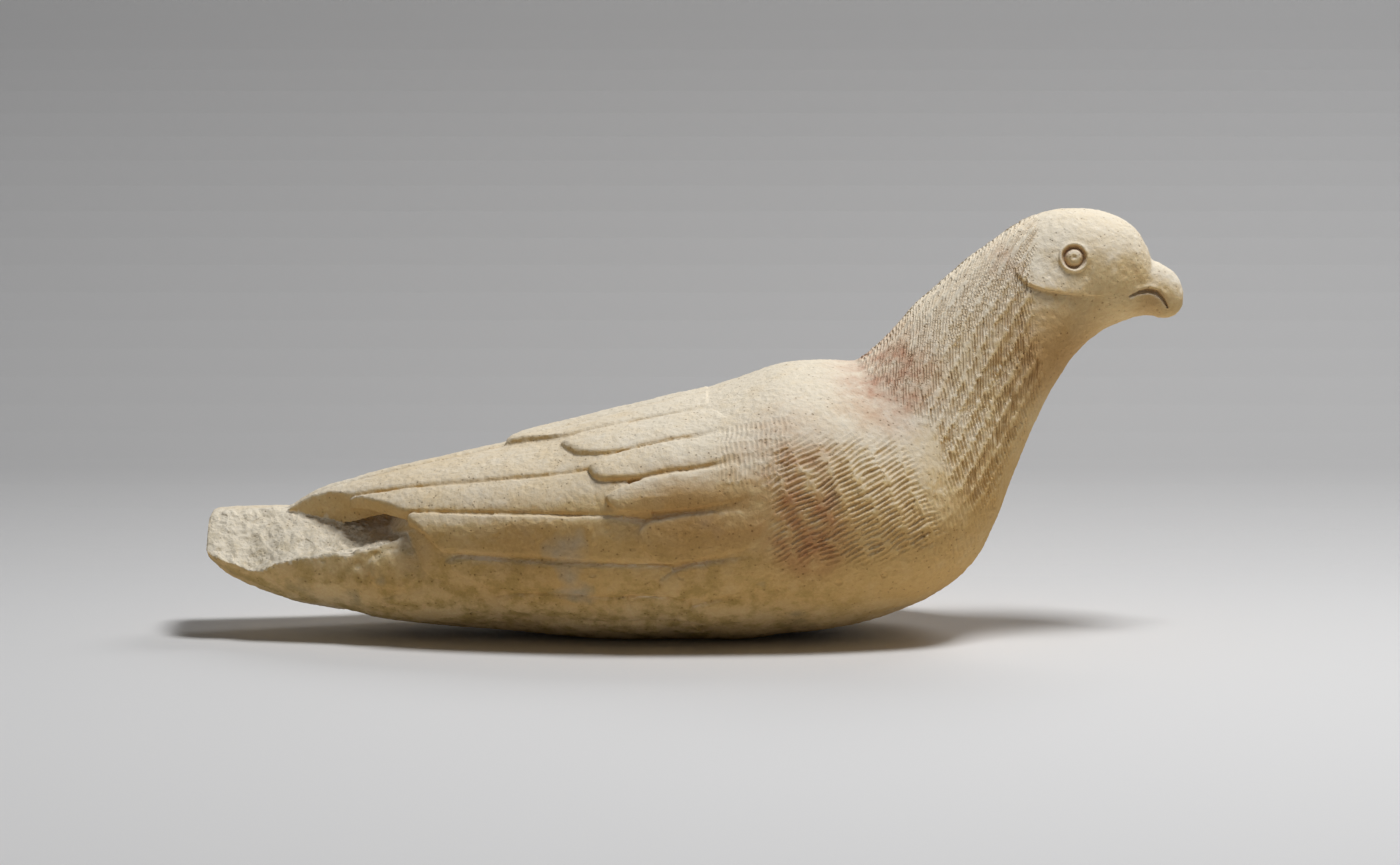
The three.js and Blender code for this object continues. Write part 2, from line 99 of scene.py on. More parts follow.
class Chance:
    """Seeded random numbers and noise over points, the same on every run."""

    PRIMES = (73856093, 19349663, 83492791)

    @classmethod
    def draw(cls, seed: int, *cells: Array) -> Array:
        """Draws one number from 0 to 1 for each cell.

        Args:
            seed: which set of numbers to draw.
            cells: up to three arrays of whole numbers that name the cells.

        Returns:
            The numbers, the same for the same cell.
        """
        mixed = np.full(np.shape(cells[0]), (seed * 2654435761 + 12345) % 2**32, np.uint32)
        for prime, cell in zip(cls.PRIMES, cells):
            mixed ^= (np.asarray(cell).astype(np.int64) & 0xFFFFFFFF).astype(np.uint32) * np.uint32(prime)
            mixed ^= mixed >> np.uint32(15)
            mixed *= np.uint32(2246822519)
            mixed ^= mixed >> np.uint32(13)
            mixed *= np.uint32(3266489917)
            mixed ^= mixed >> np.uint32(16)
        return mixed / 2**32

    @classmethod
    def noise(cls, points: Array, size: float, seed: int, octaves: int = 1) -> Array:
        """Smooth noise from -1 to 1.

        Args:
            points: one row of three coordinates a point.
            size: how wide its bumps are, in the points' unit.
            seed: which noise.
            octaves: how many times finer and weaker noise is added.

        Returns:
            The noise at each point.
        """
        total = np.zeros(len(points))
        for octave in range(octaves):
            scaled = points * (2**octave / size) + 17.3 * octave
            cell = np.floor(scaled).astype(np.int64)
            part = scaled - cell
            part = part * part * (3 - 2 * part)
            layers = []
            for k in range(8):
                corner = [cell[:, axis] + (k >> axis & 1) for axis in range(3)]
                layers.append(cls.draw(seed + 101 * octave, *corner))
            for axis in range(3):
                layers = [mix(layers[j], layers[j + 1], part[:, axis]) for j in range(0, len(layers), 2)]
            total += (2 * layers[0] - 1) / 2**octave
        return total

    @classmethod
    def spots(cls, points: Array, size: float, seed: int) -> tuple[Array, Array]:
        """Scatters one spot in each cell of a grid.

        Args:
            points: one row of three coordinates a point.
            size: the width of a cell.
            seed: which spots.

        Returns:
            How far each point is from its nearest spot, and that spot's own random number.
        """
        scaled = points / size
        cell = np.floor(scaled).astype(np.int64)
        nearest = np.full(len(points), 9.0)
        owner = np.zeros(len(points))
        for k in range(27):
            shift = (k % 3 - 1, k // 3 % 3 - 1, k // 9 - 1)
            at = [cell[:, axis] + shift[axis] for axis in range(3)]
            away = sum((at[axis] + cls.draw(seed + axis, *at) - scaled[:, axis]) ** 2 for axis in range(3))
            closer = away < nearest
            nearest = np.where(closer, away, nearest)
            owner = np.where(closer, cls.draw(seed + 7, *at), owner)
        return np.sqrt(nearest) * size, owner


@dataclass(eq=False)
class Skin:
    """The smooth surface that a row of sections spans.

    Each section runs from a point on the back to a point on the keel, and is given as back x, back z,
    keel x, keel z, half width, and the height of the widest place as a share of the way up.
    """

    rows: tuple[tuple[float, ...], ...]
    back_round: float
    belly_round: float

    def __post_init__(self) -> None:
        """Pads the columns by one entry at both ends, and measures the surface."""
        columns = np.array(self.rows, float).T
        first = 2 * columns[:, :1] - columns[:, 1:2]
        last = 2 * columns[:, -1:] - columns[:, -2:-1]
        self.last = len(self.rows) - 1
        self.columns = np.hstack([first, columns, last])
        self.fine = np.linspace(0, self.last, 8 * self.last + 1)
        self.fine_x = self.section(self.fine)[0]
        self.angles = np.linspace(0, np.pi, 25)
        grid = [self.point(self.fine, np.full(len(self.fine), a)) for a in self.angles]
        mesh = np.stack(grid, 1)
        along = np.linalg.norm(np.diff(mesh, axis=0), axis=2)
        around = np.linalg.norm(np.diff(mesh, axis=1), axis=2)
        self.along = np.vstack([np.zeros(len(self.angles)), np.cumsum(along, 0)])
        self.around = np.hstack([np.zeros((len(self.fine), 1)), np.cumsum(around, 1)])

    def section(self, t: Array) -> Array:
        """The six numbers of the section at each place t, counted in sections."""
        i = np.clip(np.floor(t).astype(int), 0, self.last - 1)
        f = t - i
        p0, p1, p2, p3 = (self.columns[:, i + k] for k in range(4))
        slope1, slope2 = (p2 - p0) / 2, (p3 - p1) / 2
        blend = 3 * f**2 - 2 * f**3
        return (1 - blend) * p1 + (f**3 - 2 * f**2 + f) * slope1 + blend * p2 + (f**3 - f**2) * slope2

    def place_at(self, x: Array) -> Array:
        """The place in the row where the back's midline is at x."""
        return np.interp(x, self.fine_x, self.fine)

    def reach(self, section: Array, angle: Array) -> tuple[Array, Array]:
        """How far a section reaches to the side and up from its waist at an angle round it."""
        tall = np.hypot(section[0] - section[2], section[1] - section[3])
        power = np.where(np.abs(angle) < np.pi / 2, 2 / self.back_round, 2 / self.belly_round)
        c = np.sign(np.cos(angle)) * np.abs(np.cos(angle)) ** power
        s = np.sign(np.sin(angle)) * np.abs(np.sin(angle)) ** power
        return section[4] * s, tall * np.where(c > 0, (1 - section[5]) * c, section[5] * c)

    def point(self, t: Array, angle: Array, lift: Array | float = 0.0) -> Array:
        """Points on the surface.

        Args:
            t: places in the row of sections.
            angle: radians from the back's midline, positive on the bird's right.
            lift: how far out to go along the section's own normal.

        Returns:
            One row of x, y and z for each.
        """
        section = self.section(t)
        step = 0.02
        side, rise = self.reach(section, angle)
        side0, rise0 = self.reach(section, angle - step)
        side1, rise1 = self.reach(section, angle + step)
        span = np.hypot(side1 - side0, rise1 - rise0)
        side = side + lift * (rise0 - rise1) / span
        rise = rise + lift * (side1 - side0) / span
        tall = np.hypot(section[0] - section[2], section[1] - section[3])
        x = mix(section[2], section[0], section[5] + rise / tall)
        z = mix(section[3], section[1], section[5] + rise / tall)
        return np.stack([x, -side, z], -1)

    def locate(self, points: Array) -> tuple[Array, Array]:
        """Where points lie on the surface.

        Args:
            points: points on or near it.

        Returns:
            The place in the row and the angle of each, without the side's sign.
        """
        x, y, z = points.T
        low = np.zeros(len(points))
        high = np.full(len(points), float(self.last))
        for _ in range(16):
            middle = (low + high) / 2
            s = self.section(middle)
            ahead = (s[1] - s[3]) * (x - s[2]) > (s[0] - s[2]) * (z - s[3])
            low = np.where(ahead, middle, low)
            high = np.where(ahead, high, middle)
        t = (low + high) / 2
        s = self.section(t)
        tall = np.hypot(s[0] - s[2], s[1] - s[3])
        share = ((x - s[2]) * (s[0] - s[2]) + (z - s[3]) * (s[1] - s[3])) / tall**2
        above = share > s[5]
        c = np.where(above, (share - s[5]) / (1 - s[5]), (s[5] - share) / s[5])
        power = np.where(above, self.back_round, self.belly_round) / 2
        angle = np.arctan2((np.abs(y) / s[4]) ** power, np.abs(c) ** power)
        return t, np.where(above, angle, np.pi - angle)

    def measure(self, t: Array, angle: Array) -> tuple[Array, Array]:
        """How far each place is along the surface from its rear end, and round it from the midline."""
        row = np.clip(t * 8, 0, len(self.fine) - 1.001)
        column = np.clip(angle / np.pi * 24, 0, len(self.angles) - 1.001)
        i, j = row.astype(int), column.astype(int)
        f, g = row - i, column - j
        return tuple(
            mix(mix(table[i, j], table[i + 1, j], f), mix(table[i, j + 1], table[i + 1, j + 1], f), g)
            for table in (self.along, self.around)
        )


BODY_SKIN = Skin(
    rows=(
        (-143, 44.6, -143, 12.5, 14, 0.67), (-130, 51, -130, 9.5, 22, 0.64),
        (-120, 54, -120, 7.5, 28, 0.63), (-105, 58, -105, 5.2, 36, 0.62),
        (-90, 61.4, -90, 3.6, 42, 0.62), (-70, 65.8, -70, 2.2, 48.5, 0.62),
        (-47, 71.5, -47, 0.4, 53.5, 0.62), (-29, 77, -29, -1, 56, 0.62),
        (-10, 82.8, -10, -1, 57.5, 0.62), (2, 85.8, 2, -1, 58, 0.61),
        (15, 89.6, 15, -1, 58.4, 0.6), (30, 94.3, 30, 0.6, 57.8, 0.57),
        (44, 95.9, 46, 2.4, 56, 0.54), (54.5, 95.5, 66, 7.2, 52, 0.49),
        (57.2, 96.2, 84, 15.2, 48, 0.43), (60.5, 98.3, 97, 26, 43.2, 0.38),
        (65, 102.4, 104.6, 40, 37.8, 0.35), (71, 108.8, 110, 54.5, 33, 0.33),
        (78, 116.4, 115.2, 67, 29.4, 0.32), (86.2, 123.6, 120, 78.3, 26.8, 0.33),
        (95.2, 131.2, 125.6, 88.8, 24.6, 0.36), (104.6, 138.2, 131.8, 98, 22.8, 0.42),
        (113.2, 143.9, 138.6, 104.3, 21.2, 0.5), (121.6, 147.5, 144, 107.7, 20.5, 0.56),
        (130.6, 148.9, 147.6, 109.3, 20, 0.58), (139.6, 148.3, 150, 110.2, 18.6, 0.58),
        (147.6, 145.8, 152, 110.9, 16, 0.57), (153.4, 141.4, 154, 111.3, 12.8, 0.55),
        (157, 136, 155.8, 111.6, 9.8, 0.52), (158.9, 131.6, 157.6, 111.7, 7.9, 0.52),
        (162.3, 129.8, 159.4, 111.5, 7.3, 0.55), (165.9, 127.6, 161, 111.1, 6.9, 0.56),
        (168.7, 124.4, 162.4, 110.8, 6.4, 0.56), (170, 120.2, 163.7, 110.7, 5.6, 0.55),
        (169.9, 115.8, 165, 110.8, 4.2, 0.5), (168.8, 113.2, 166.2, 111.3, 2, 0.5),
    ),
    back_round=2.1,
    belly_round=2.3,
)

TAIL_SKIN = Skin(
    rows=(
        (-170, 40.5, -170, 29.5, 19, 0.55), (-168.6, 42.6, -168.6, 26.2, 20.5, 0.62),
        (-163, 43.2, -163, 21.2, 21.8, 0.66), (-156, 43.4, -156, 17.4, 23, 0.66),
        (-147, 43.5, -147, 13.8, 24.6, 0.64), (-136, 43.5, -136, 10.8, 26.8, 0.6),
        (-122, 43.6, -122, 8.3, 29.8, 0.56), (-108, 44, -108, 5.6, 33.4, 0.54),
        (-92, 47, -92, 3.8, 37.4, 0.52), (-72, 52, -72, 3.2, 41, 0.5), (-50, 52, -50, 3.2, 38, 0.5),
    ),
    back_round=3.2,
    belly_round=2.2,
)


class Blank:
    """Gathers closed shapes and fuses them into one dense stone."""

    def __init__(self) -> None:
        """Starts with nothing."""
        self.gathered = bmesh.new()

    def add(self, columns: int, rows: int, rule: Callable[[Array], Array], thick: bool = False) -> None:
        """Adds a shape that is formed from a grid.

        Args:
            columns: cells along u.
            rows: cells along v.
            rule: takes rows of u, v and layer from 0 to 1, and returns their places.
            thick: whether the grid gets a second layer, with walls between the two.
        """
        shape = bmesh.new()
        bmesh.ops.create_grid(shape, x_segments=columns, y_segments=rows, size=0.5)
        bmesh.ops.translate(shape, verts=shape.verts, vec=(0.5, 0.5, 0))
        if thick:
            raised = bmesh.ops.extrude_face_region(shape, geom=shape.faces[:], use_keep_orig=True)
            verts = [part for part in raised["geom"] if isinstance(part, bmesh.types.BMVert)]
            bmesh.ops.translate(shape, verts=verts, vec=(0, 0, 1))
        flat = np.array([vert.co for vert in shape.verts])
        for vert, place in zip(shape.verts, rule(flat).tolist()):
            vert.co = place
        bmesh.ops.remove_doubles(shape, verts=shape.verts, dist=1e-4)
        bmesh.ops.holes_fill(shape, edges=shape.edges, sides=0)
        bmesh.ops.recalc_face_normals(shape, faces=shape.faces)
        part = bpy.data.meshes.new("part")
        shape.to_mesh(part)
        shape.free()
        self.gathered.from_mesh(part)
        bpy.data.meshes.remove(part)

    def fuse(self, name: str, voxel: float) -> bpy.types.Object:
        """Makes one closed mesh of everything that was added.

        Args:
            name: the new object's name.
            voxel: the width of its faces.

        Returns:
            The object, in millimetres.
        """
        mesh = bpy.data.meshes.new(name)
        self.gathered.to_mesh(mesh)
        self.gathered.free()
        piece = bpy.data.objects.new(name, mesh)
        bpy.context.scene.collection.objects.link(piece)
        remesh = piece.modifiers.new("fuse", "REMESH")
        remesh.mode = "VOXEL"
        remesh.voxel_size = voxel
        smooth = piece.modifiers.new("even", "SMOOTH")
        smooth.factor = 0.5
        smooth.iterations = 2
        apply_modifiers(piece)
        return piece


def apply_modifiers(piece: bpy.types.Object) -> None:
    """Makes what the modifiers give the piece's own mesh, and removes them."""
    bpy.context.view_layer.update()
    made = piece.evaluated_get(bpy.context.evaluated_depsgraph_get())
    mesh = bpy.data.meshes.new_from_object(made)
    old = piece.data
    piece.modifiers.clear()
    piece.data = mesh
    bpy.data.meshes.remove(old)
    mesh.name = piece.name


@dataclass
class Stone:
    """A dense mesh that tools carve by moving its points, and what they leave on it."""

    piece: bpy.types.Object
    points: Array = field(init=False)
    normals: Array = field(init=False)
    marks: dict[str, Array] = field(init=False, default_factory=dict)

    def __post_init__(self) -> None:
        """Reads the mesh."""
        self.read()

    def read(self) -> None:
        """Reads the points and their normals from the mesh."""
        mesh = self.piece.data
        flat = np.empty(3 * len(mesh.vertices))
        mesh.vertices.foreach_get("co", flat)
        self.points = flat.reshape(-1, 3).copy()
        mesh.vertex_normals.foreach_get("vector", flat)
        self.normals = flat.reshape(-1, 3).copy()

    def push(self, height: Array) -> None:
        """Moves the points along their normals, and works the normals out again."""
        self.points += self.normals * height[:, None]
        self.write()

    def write(self) -> None:
        """Writes the points back to the mesh, and reads the new normals."""
        mesh = self.piece.data
        mesh.vertices.foreach_set("co", self.points.ravel())
        mesh.update()
        self.read()

    def mark(self, name: str, value: Array) -> None:
        """Keeps a number from 0 to 1 on every point for the finish to read."""
        mesh = self.piece.data
        layer = mesh.attributes.get(name) or mesh.attributes.new(name, "FLOAT", "POINT")
        layer.data.foreach_set("value", np.clip(value, 0, 1).astype(np.float32))


@dataclass
class Body:
    """The body, which lies under the long wing feathers by their thickness."""

    skin: Skin = BODY_SKIN
    wing_thickness: float = 1.6
    wing_fade: tuple[float, float] = (-22, 34)
    wing_hem: tuple[float, float] = (148, 166)
    rear: tuple[float, float] = (-112, -92)
    rear_drawn: float = 18
    cells: tuple[int, int] = (240, 260)

    def add_to(self, blank: Blank) -> None:
        """Adds the body as a closed loft."""
        start = float(self.skin.place_at(np.array(self.rear[0])))

        def rule(grid: Array) -> Array:
            t = mix(start, self.skin.last, grid[:, 1])
            angle = 2 * np.pi * (grid[:, 0] - 0.5)
            x = self.skin.section(t)[0]
            hem = ramp(np.degrees(np.abs(angle)), *self.wing_hem)
            covered = self.wing_thickness * (1 - ramp(x, *self.wing_fade)) * (1 - hem)
            return self.skin.point(t, angle, -covered - self.rear_drawn * (1 - ramp(x, *self.rear)))

        blank.add(self.cells[0], self.cells[1], rule)


@dataclass
class Tail:
    """The tail, a thick blade whose upper right side is broken off down to a ragged border."""

    skin: Skin = TAIL_SKIN
    cells: tuple[int, int] = (200, 150)
    start_x: float = -175
    end_x: float = -96
    side_y: tuple[float, float] = (-24, 3.5)
    top: float = 44
    steep: float = 0.8
    border: tuple[tuple[float, float], ...] = (
        (-175, 25), (-160, 25.5), (-155, 22.5), (-150, 24.5), (-144, 28.5), (-132, 31), (-118, 33),
        (-96, 40),
    )
    waves: tuple[tuple[float, float, float, float], ...] = (
        (0.5, 0.71, 0.33, 0.4), (0.35, -0.41, 0.93, 2), (0.25, 1.7, 1.1, 0),
    )

    def break_height(self, x: Array, y: Array) -> Array:
        """The height of the broken face at x and y."""
        heights = np.interp(x, *np.array(self.border).T)
        slope = ramp(y, *self.side_y) ** self.steep
        uneven = sum(h * np.sin(a * x + b * y + c) for h, a, b, c in self.waves)
        return mix(heights, self.top, slope) + 0.35 * uneven

    def add_to(self, blank: Blank) -> None:
        """Adds the tail as a closed loft, cut down to the broken face."""

        def rule(grid: Array) -> Array:
            points = self.skin.point(self.skin.last * grid[:, 1], 2 * np.pi * (grid[:, 0] - 0.5))
            x, y, z = points.T
            broken = (x < self.end_x) & (y < self.side_y[1])
            points[:, 2] = np.where(broken, np.minimum(z, self.break_height(x, y)), z)
            return points

        blank.add(self.cells[0], self.cells[1], rule)

    def carve(self, stone: Stone) -> None:
        """Roughens the broken face and marks its fresher stone."""
        x, y, z = stone.points.T
        inside = ramp(x, self.end_x + 2, self.end_x - 6) * ramp(y, self.side_y[1] + 1, self.side_y[1] - 1)
        near = ramp(np.abs(z - self.break_height(x, y)), 1.6, 0.5) * (stone.normals[:, 2] > 0.1)
        fresh = inside * near
        distance, number = Chance.spots(stone.points, 4.5, 31)
        facets = (number - 0.5) * ramp(distance, 3.4, 1.2)
        grit = Chance.noise(stone.points, 1.7, 32, 3)
        lumps = Chance.noise(stone.points, 6, 33, 3)
        stone.push(fresh * (0.7 * facets + 0.3 * grit + 0.5 * lumps - 0.3))
        stone.marks["fresh"] = fresh


@dataclass(frozen=True)
class Feather:
    """One feather's own sizes.

    lift is how far it stands over the wing at its tip, nose how far its tip is rounded out past its
    corners, tip the share of its length that this takes, and depth how thick its tip is.
    """

    lift: float
    nose: float
    tip: float
    depth: float = 3


@dataclass
class FeatherRow:
    """Feathers side by side, in the order in which they lie from the midline down.

    An edge is x and degrees at the root, then x and degrees at the tip. Feather number n lies between
    edge n and edge n + 1.
    """

    skin: Skin
    root: float
    edges: tuple[tuple[float, ...], ...]
    feathers: tuple[Feather, ...]
    gap: float = 0.6
    bevel: float = 1.6
    bevel_width: float = 2.2
    pillow: float = 0.6
    narrow: float = 0.75
    bed: float = 3
    cells: tuple[int, int] = (26, 90)

    def add_to(self, blank: Blank, side: int) -> None:
        """Adds each feather as a slab with rounded edges.

        Args:
            blank: what to add them to.
            side: 1 for the bird's right and -1 for its left.
        """
        for number, feather in enumerate(self.feathers):
            rule = self.rule(number, feather, side)
            blank.add(self.cells[0], self.cells[1], rule, thick=True)

    def rule(self, number: int, feather: Feather, side: int) -> Callable[[Array], Array]:
        """How a flat grid becomes one feather.

        Args:
            number: the feather's place in the row.
            feather: its sizes.
            side: 1 for the bird's right and -1 for its left.

        Returns:
            The rule that Blank.add takes.
        """
        upper, lower = self.edges[number], self.edges[number + 1]

        def place(grid: Array) -> Array:
            u = np.sin(np.pi / 2 * grid[:, 1])
            v = 0.5 - 0.5 * np.cos(np.pi * grid[:, 0])
            end = np.clip((u - 1 + feather.tip) / max(feather.tip, 0.01), 0, 1)
            shrink = np.sqrt(1 - self.narrow * end**2) if feather.tip else 1.0
            w = 0.5 + (v - 0.5) * shrink
            bulge = feather.nose * u**4 * 4 * w * (1 - w)
            x = mix(mix(upper[0], upper[2], u), mix(lower[0], lower[2], u), w) - bulge
            t = self.skin.place_at(x)
            degree = np.radians(self.skin.section(t)[4])
            width = np.abs(mix(lower[1] - upper[1], lower[3] - upper[3], u)) * degree * shrink
            waver = 0.3 * Chance.noise(np.stack([x, v * 40, 0 * x + 9 * number], -1), 9, 40 + number, 2)
            trim = (self.gap * (1 - 2 * v) + waver) / degree
            around = mix(mix(upper[1], upper[3], u), mix(lower[1], lower[3], u), w) + trim
            length = abs(upper[2] - upper[0])
            inside = np.minimum(np.minimum(v, 1 - v) * width, (1 - u) * length)
            corner = 1 - np.clip(inside / self.bevel_width, 0, 1)
            drop = self.bevel * mix(0.6, 1, u) * (1 - np.sqrt(1 - corner**2))
            crown = self.pillow * (4 * v * (1 - v) - 0.6)
            lift = mix(self.root, feather.lift, u) + crown - drop
            out = np.where(grid[:, 2] > 0.5, lift, -mix(self.bed, feather.depth, u))
            return self.skin.point(t, side * np.radians(around), out)

        return place


COVERTS = FeatherRow(
    skin=BODY_SKIN,
    root=-0.6,
    edges=(
        (4, 0, -71, 0), (4, 25, -48, 19.5), (14, 47, -36, 48.5), (21, 67.5, -29, 70),
        (27, 89.5, -21, 91.5), (33, 103.5, -12, 110), (38, 118.5, -5, 128.5), (33, 140, 0, 146),
    ),
    feathers=(
        Feather(2.4, 0, 0.1), Feather(2.4, 2, 0.25), Feather(2.6, 2.5, 0.28), Feather(2.6, 4, 0.28),
        Feather(1.6, 1, 0.12), Feather(1.5, 3, 0.3), Feather(1, 4, 0.4),
    ),
)

QUILLS = FeatherRow(
    skin=BODY_SKIN,
    root=0,
    edges=(
        (-20, 1, -145, 3), (-28, 55.5, -120, 33.5), (-14, 92.5, -100.5, 64.5), (-8, 109, -88.5, 96.5),
        (-2, 125, -71, 118.5), (-2, 141, -55, 141.5), (4, 155, -44, 160),
    ),
    feathers=(
        Feather(0, 0, 0, 12), Feather(-0.5, 0, 0, 6), Feather(0.5, 1, 0.04, 5), Feather(0, 2, 0.14, 4),
        Feather(-0.5, 3, 0.3, 4), Feather(-0.9, 3, 0.3, 4),
    ),
    cells=(30, 150),
)

TAIL_FEATHERS = FeatherRow(
    skin=TAIL_SKIN,
    root=-0.5,
    edges=((-86, 62, -113, 79), (-82, 92, -109, 111), (-80, 114, -101, 129)),
    feathers=(Feather(1.3, 1, 0.3), Feather(0.7, 3, 0.6)),
    cells=(26, 40),
)


def polyline(x: Array, z: Array, line: tuple[tuple[float, float], ...]) -> tuple[Array, Array, Array]:
    """Measures points against a line in side view.

    Args:
        x: the points' x.
        z: their height.
        line: the line's points.

    Returns:
        The distance to the line, negative on its right, how far along it the nearest point is, from
        0 to 1, and the plain distance.
    """
    best = np.full(len(x), 1e9)
    signed = np.zeros(len(x))
    along = np.zeros(len(x))
    pieces = len(line) - 1
    for number in range(pieces):
        (x0, z0), (x1, z1) = line[number], line[number + 1]
        dx, dz = x1 - x0, z1 - z0
        share = np.clip(((x - x0) * dx + (z - z0) * dz) / (dx * dx + dz * dz), 0, 1)
        away = np.hypot(x - x0 - share * dx, z - z0 - share * dz)
        closer = away < best
        turn = np.sign(dx * (z - z0) - dz * (x - x0))
        best = np.where(closer, away, best)
        signed = np.where(closer, away * turn, signed)
        along = np.where(closer, (number + share) / pieces, along)
    return signed, along, best


@dataclass
class Head:
    """The eye, the mouth, the cheek and the beak's worn skin."""

    skin: Skin = BODY_SKIN
    first_place: float = 19
    eye: tuple[float, float] = (130.4, 133.6)
    eye_reach: float = 7.5
    eye_profile: tuple[tuple[float, float], ...] = (
        (0, 0.95), (1.2, 0.8), (2.2, 0.35), (2.9, -0.5), (3.4, -1.25), (3.9, -0.7), (4.3, 0.35), (4.8, 0.5),
        (5.6, 0.1), (6.6, 0),
    )
    mouth: tuple[tuple[float, float], ...] = (
        (150.2, 119.5), (153.6, 120.7), (157.2, 121.1), (160.4, 120.2), (162.6, 117.8), (164.2, 114.9),
    )
    mouth_width: float = 1.5
    mouth_depth: float = 1.7
    jaw: tuple[tuple[float, float], ...] = (
        (109.6, 131.5), (111.6, 126.8), (114.6, 124.2), (119.8, 122.4), (126, 121.5), (133, 120.6),
        (141, 120.2),
    )
    jaw_steps: tuple[float, ...] = (0.2, 0.9, 1.4, 1.5, 1.2, 0.8, 0.1)
    cheek_fade: float = 9

    def zones(self) -> list[tuple[float, float, float]]:
        """Places in side view, with a radius, where the stone needs finer faces."""
        return [(*self.eye, self.eye_reach), (158, 120, 13)]

    def carve(self, stone: Stone) -> None:
        """Carves the cheek, then the mouth and the eye on both sides."""
        t, _ = self.skin.locate(stone.points)
        on_head = ramp(t, self.first_place, self.first_place + 0.6)
        x, _, z = stone.points.T
        away, along, _ = polyline(x, z, self.jaw)
        step = np.interp(along, np.linspace(0, 1, len(self.jaw_steps)), self.jaw_steps)
        cheek = step * ramp(away, -0.35, 0.35) * np.clip(1 - away / self.cheek_fade, 0, 1) ** 1.2
        beyond = (along < 0.001) | (along > 0.999)
        stone.push(on_head * np.where(beyond, 0, cheek))
        self.carve_mouth(stone, on_head)
        self.carve_eyes(stone, on_head)

    def carve_mouth(self, stone: Stone, on_head: Array) -> None:
        """Cuts the groove of the mouth, with a lip over it."""
        x, _, z = stone.points.T
        away, along, distance = polyline(x, z, self.mouth)
        taper = 0.35 + 0.65 * np.sin(np.pi * along)
        groove = ramp(distance, 0.75 * self.mouth_width * taper, 0.15 * self.mouth_width * taper)
        lip = 0.35 * np.exp(-(((away - 1.6) / 0.8) ** 2)) * np.sin(np.pi * along)
        stone.push(on_head * (lip - self.mouth_depth * groove * (0.5 + 0.5 * taper)))
        stone.marks["mouth"] = on_head * groove

    def carve_eyes(self, stone: Stone, on_head: Array) -> None:
        """Carves a domed eye in a ring-shaped groove with a raised rim, on both sides."""
        height = np.zeros(len(stone.points))
        groove = np.zeros(len(stone.points))
        for side in (1, -1):
            middle, axis = self.eye_frame(side)
            offset = stone.points - middle
            flat = offset - np.outer(offset @ axis, axis)
            radius = np.linalg.norm(flat, axis=1)
            turn = np.arctan2(flat[:, 2], flat[:, 0])
            near = (radius < self.eye_reach) & (offset @ axis > -4)
            profile = np.interp(radius, *np.array(self.eye_profile).T)
            rim = np.exp(-(((radius - 4.6) / 0.6) ** 2)) * (0.25 + 0.3 * np.cos(turn + 2.5))
            nick = -0.6 * np.exp(-((radius / 0.8) ** 2))
            height = np.where(near, profile + rim + nick, height)
            groove = np.where(near, np.exp(-(((radius - 3.4) / 0.7) ** 2)), groove)
        stone.push(on_head * height)
        stone.marks["eye"] = on_head * groove

    def eye_frame(self, side: int) -> tuple[Array, Array]:
        """The middle of the eye on one side, and the direction in which it looks."""
        x, z = self.eye
        t, angle = self.skin.locate(np.array([[x, 0.0, z]]))
        section = self.skin.section(t)
        share = (z - section[3]) / (section[1] - section[3])
        above = share > section[5]
        cosine = np.where(above, (share - section[5]) / (1 - section[5]), (section[5] - share) / section[5])
        power = np.where(above, self.skin.back_round, self.skin.belly_round) / 2
        angle = np.arccos(np.clip(cosine, 0, 1) ** power)
        angle = np.where(above, angle, np.pi - angle)
        middle = self.skin.point(t, side * angle)[0]
        axis = self.skin.point(t, side * angle, 1.0)[0] - middle
        return middle, axis / np.linalg.norm(axis)


@dataclass(frozen=True)
class Chisel:
    """Short cuts of a small flat chisel, side by side in bands."""

    pitch: float
    length: float
    depth: float
    seed: int
    steep: float = 0.38

    def cuts(self, along: Array, across: Array) -> Array:
        """How deep the cuts go.

        Args:
            along: the distance along the bands, in the direction in which the cuts follow each other.
            across: the distance across the bands, along a cut.

        Returns:
            The depth at each point, from 0 to the tool's depth.
        """
        lane = across / self.length
        band = np.floor(lane)
        part = lane - band
        slant = (Chance.draw(self.seed, band) - 0.5) * 1.2
        phase = along / self.pitch + 9 * Chance.draw(self.seed + 1, band) + slant * (part - 0.5)
        number = np.floor(phase)
        place = phase - number
        shift = 0.34 * (Chance.draw(self.seed + 2, band, number) - 0.5)
        strength = 0.5 + 0.5 * Chance.draw(self.seed + 3, band, number)
        reach = 0.85 + 0.3 * Chance.draw(self.seed + 4, band, number)
        lens = np.sqrt(np.clip(1 - (np.abs(part - 0.5 + shift) / (0.5 * reach)) ** 2, 0, 1))
        low, high = self.steep * (1 - lens), 1 - (1 - self.steep) * (1 - lens)
        near = (place - low) / np.maximum(self.steep - low, 1e-6)
        far = (high - place) / np.maximum(high - self.steep, 1e-6)
        wall = np.clip(np.minimum(near, far), 0, 1)
        return self.depth * strength * lens * np.minimum(1.3 * wall, 1)


